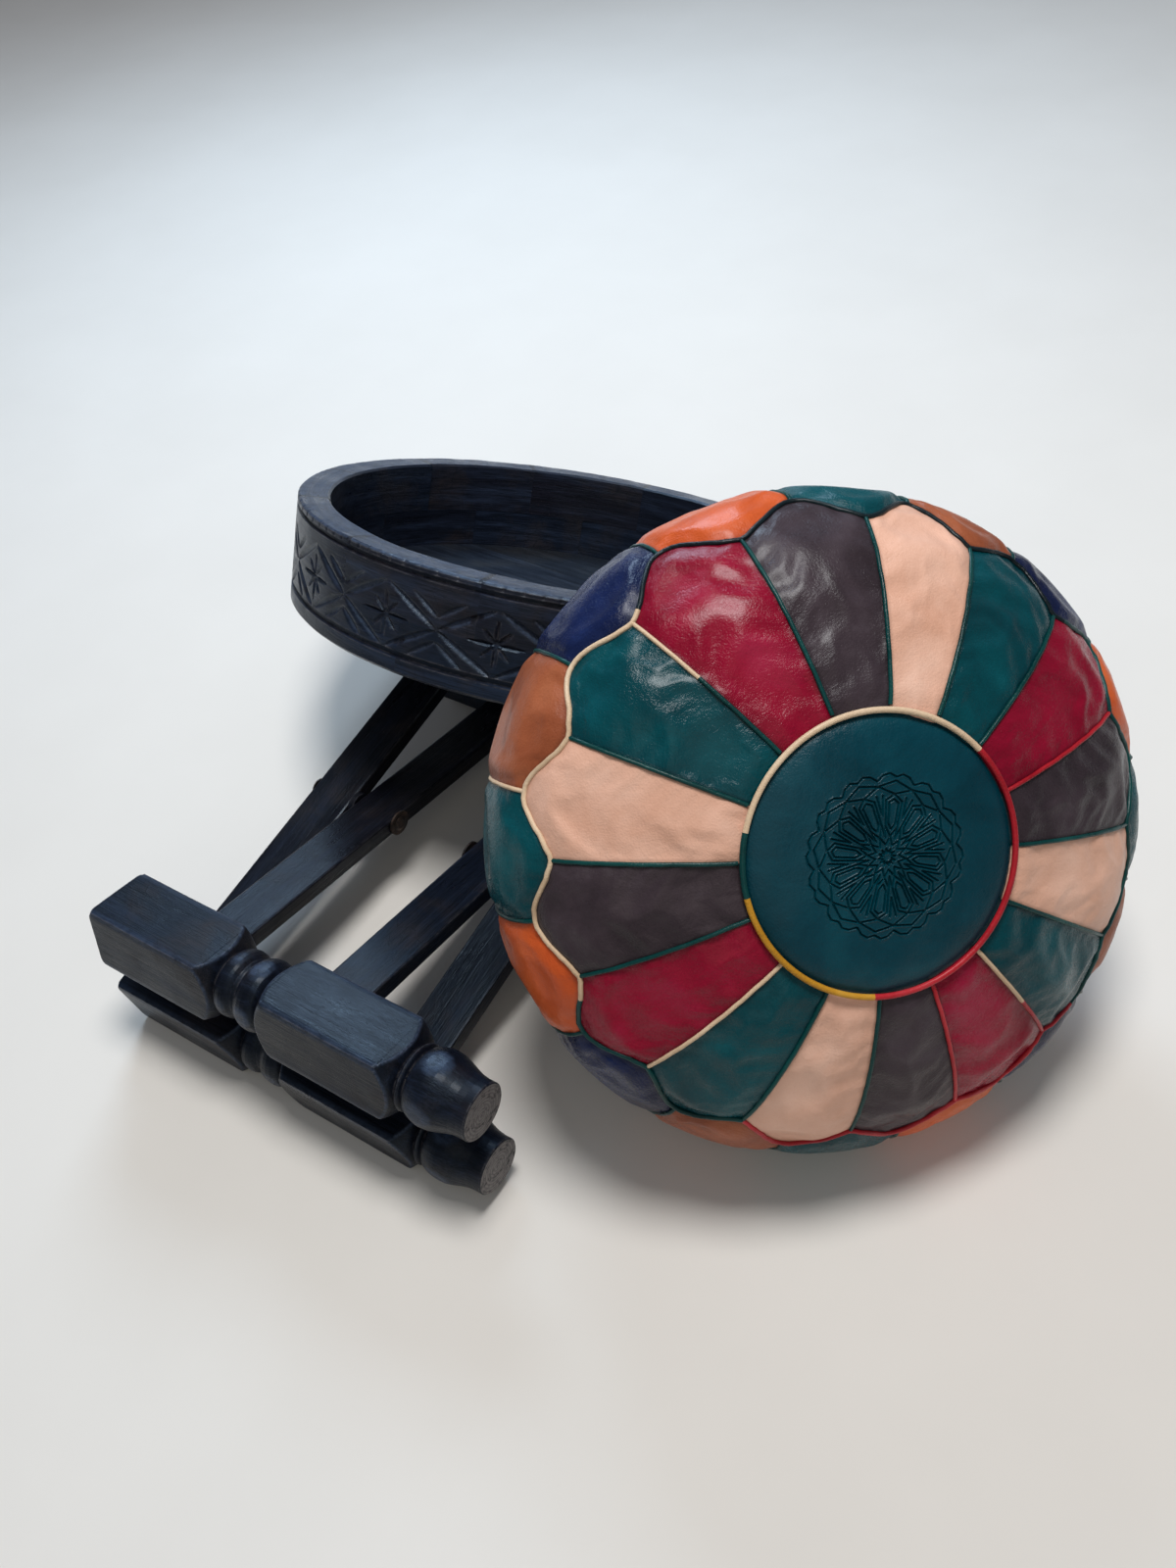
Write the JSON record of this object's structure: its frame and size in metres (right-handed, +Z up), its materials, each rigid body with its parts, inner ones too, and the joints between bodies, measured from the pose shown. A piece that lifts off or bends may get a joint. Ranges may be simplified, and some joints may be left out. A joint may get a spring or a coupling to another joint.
{
  "type": "folding tea table",
  "caption": "Low black carved-wood tea table folded down: scissor stand with turned foot bars, loose round carved tray and a round patchwork leather pouf leaning on it.",
  "frame": {"origin": "middle of the set's footprint, on the ground", "axes": "+Z up, +X along the foot bars towards their turned ends, +Y from the feet to the tray"},
  "size_m": [0.7012, 0.6612, 0.3547],
  "materials": {
    "black_wood": "satin",
    "floor_wood": "satin",
    "pivot_iron": "satin",
    "pouf_cover": "satin",
    "green_leather": "satin",
    "pale_leather": "matte"
  },
  "bodies": {
    "outer_frame": {"outer_foot_bar": "black_wood", "outer_leg_left": "black_wood", "outer_leg_right": "black_wood", "outer_top_rail": "black_wood", "pivot_pin_left": "pivot_iron", "pivot_pin_right": "pivot_iron", "pivot_spacer_left": "black_wood", "pivot_spacer_right": "black_wood", "pivot_washer_left": "pivot_iron", "pivot_washer_right": "pivot_iron"},
    "inner_frame": {"inner_foot_bar": "black_wood", "inner_leg_left": "black_wood", "inner_leg_right": "black_wood", "inner_top_rail": "black_wood"},
    "tray": {"tray_batten_far": "black_wood", "tray_batten_near": "black_wood", "tray_floor_board_1": "floor_wood", "tray_floor_board_2": "floor_wood", "tray_floor_board_3": "floor_wood", "tray_floor_board_4": "floor_wood", "tray_lower_block_01": "black_wood", "tray_lower_block_02": "black_wood", "tray_lower_block_03": "black_wood", "tray_lower_block_04": "black_wood", "tray_lower_block_05": "black_wood", "tray_lower_block_06": "black_wood", "tray_lower_block_07": "black_wood", "tray_lower_block_08": "black_wood", "tray_lower_block_09": "black_wood", "tray_lower_block_10": "black_wood", "tray_lower_block_11": "black_wood", "tray_lower_block_12": "black_wood", "tray_upper_block_01": "black_wood", "tray_upper_block_02": "black_wood", "tray_upper_block_03": "black_wood", "tray_upper_block_04": "black_wood", "tray_upper_block_05": "black_wood", "tray_upper_block_06": "black_wood", "tray_upper_block_07": "black_wood", "tray_upper_block_08": "black_wood", "tray_upper_block_09": "black_wood", "tray_upper_block_10": "black_wood", "tray_upper_block_11": "black_wood", "tray_upper_block_12": "black_wood"},
    "pouf": {"pouf_back_patch": "green_leather", "pouf_back_welt": "pale_leather", "pouf_cover": "pouf_cover", "pouf_front_patch": "green_leather", "pouf_front_welt": "pale_leather"}
  },
  "joints": [
    {"name": "scissor", "type": "hinge", "parent": "outer_frame", "child": "inner_frame", "pos_m": [-0.11649, -0.11488, 0.057], "axis": [-1, 0, 0], "range_deg": [-2.5, 26]},
    {"name": "tray_lift", "type": "slide", "parent": "outer_frame", "child": "tray", "axis": [-0.5025, 0.5025, 0.7035], "range_m": [0, 0.25]},
    {"name": "pouf_lift", "type": "slide", "parent": "outer_frame", "child": "pouf", "axis": [0.6298, -0.4876, 0.6046], "range_m": [0, 0.25]}
  ]
}
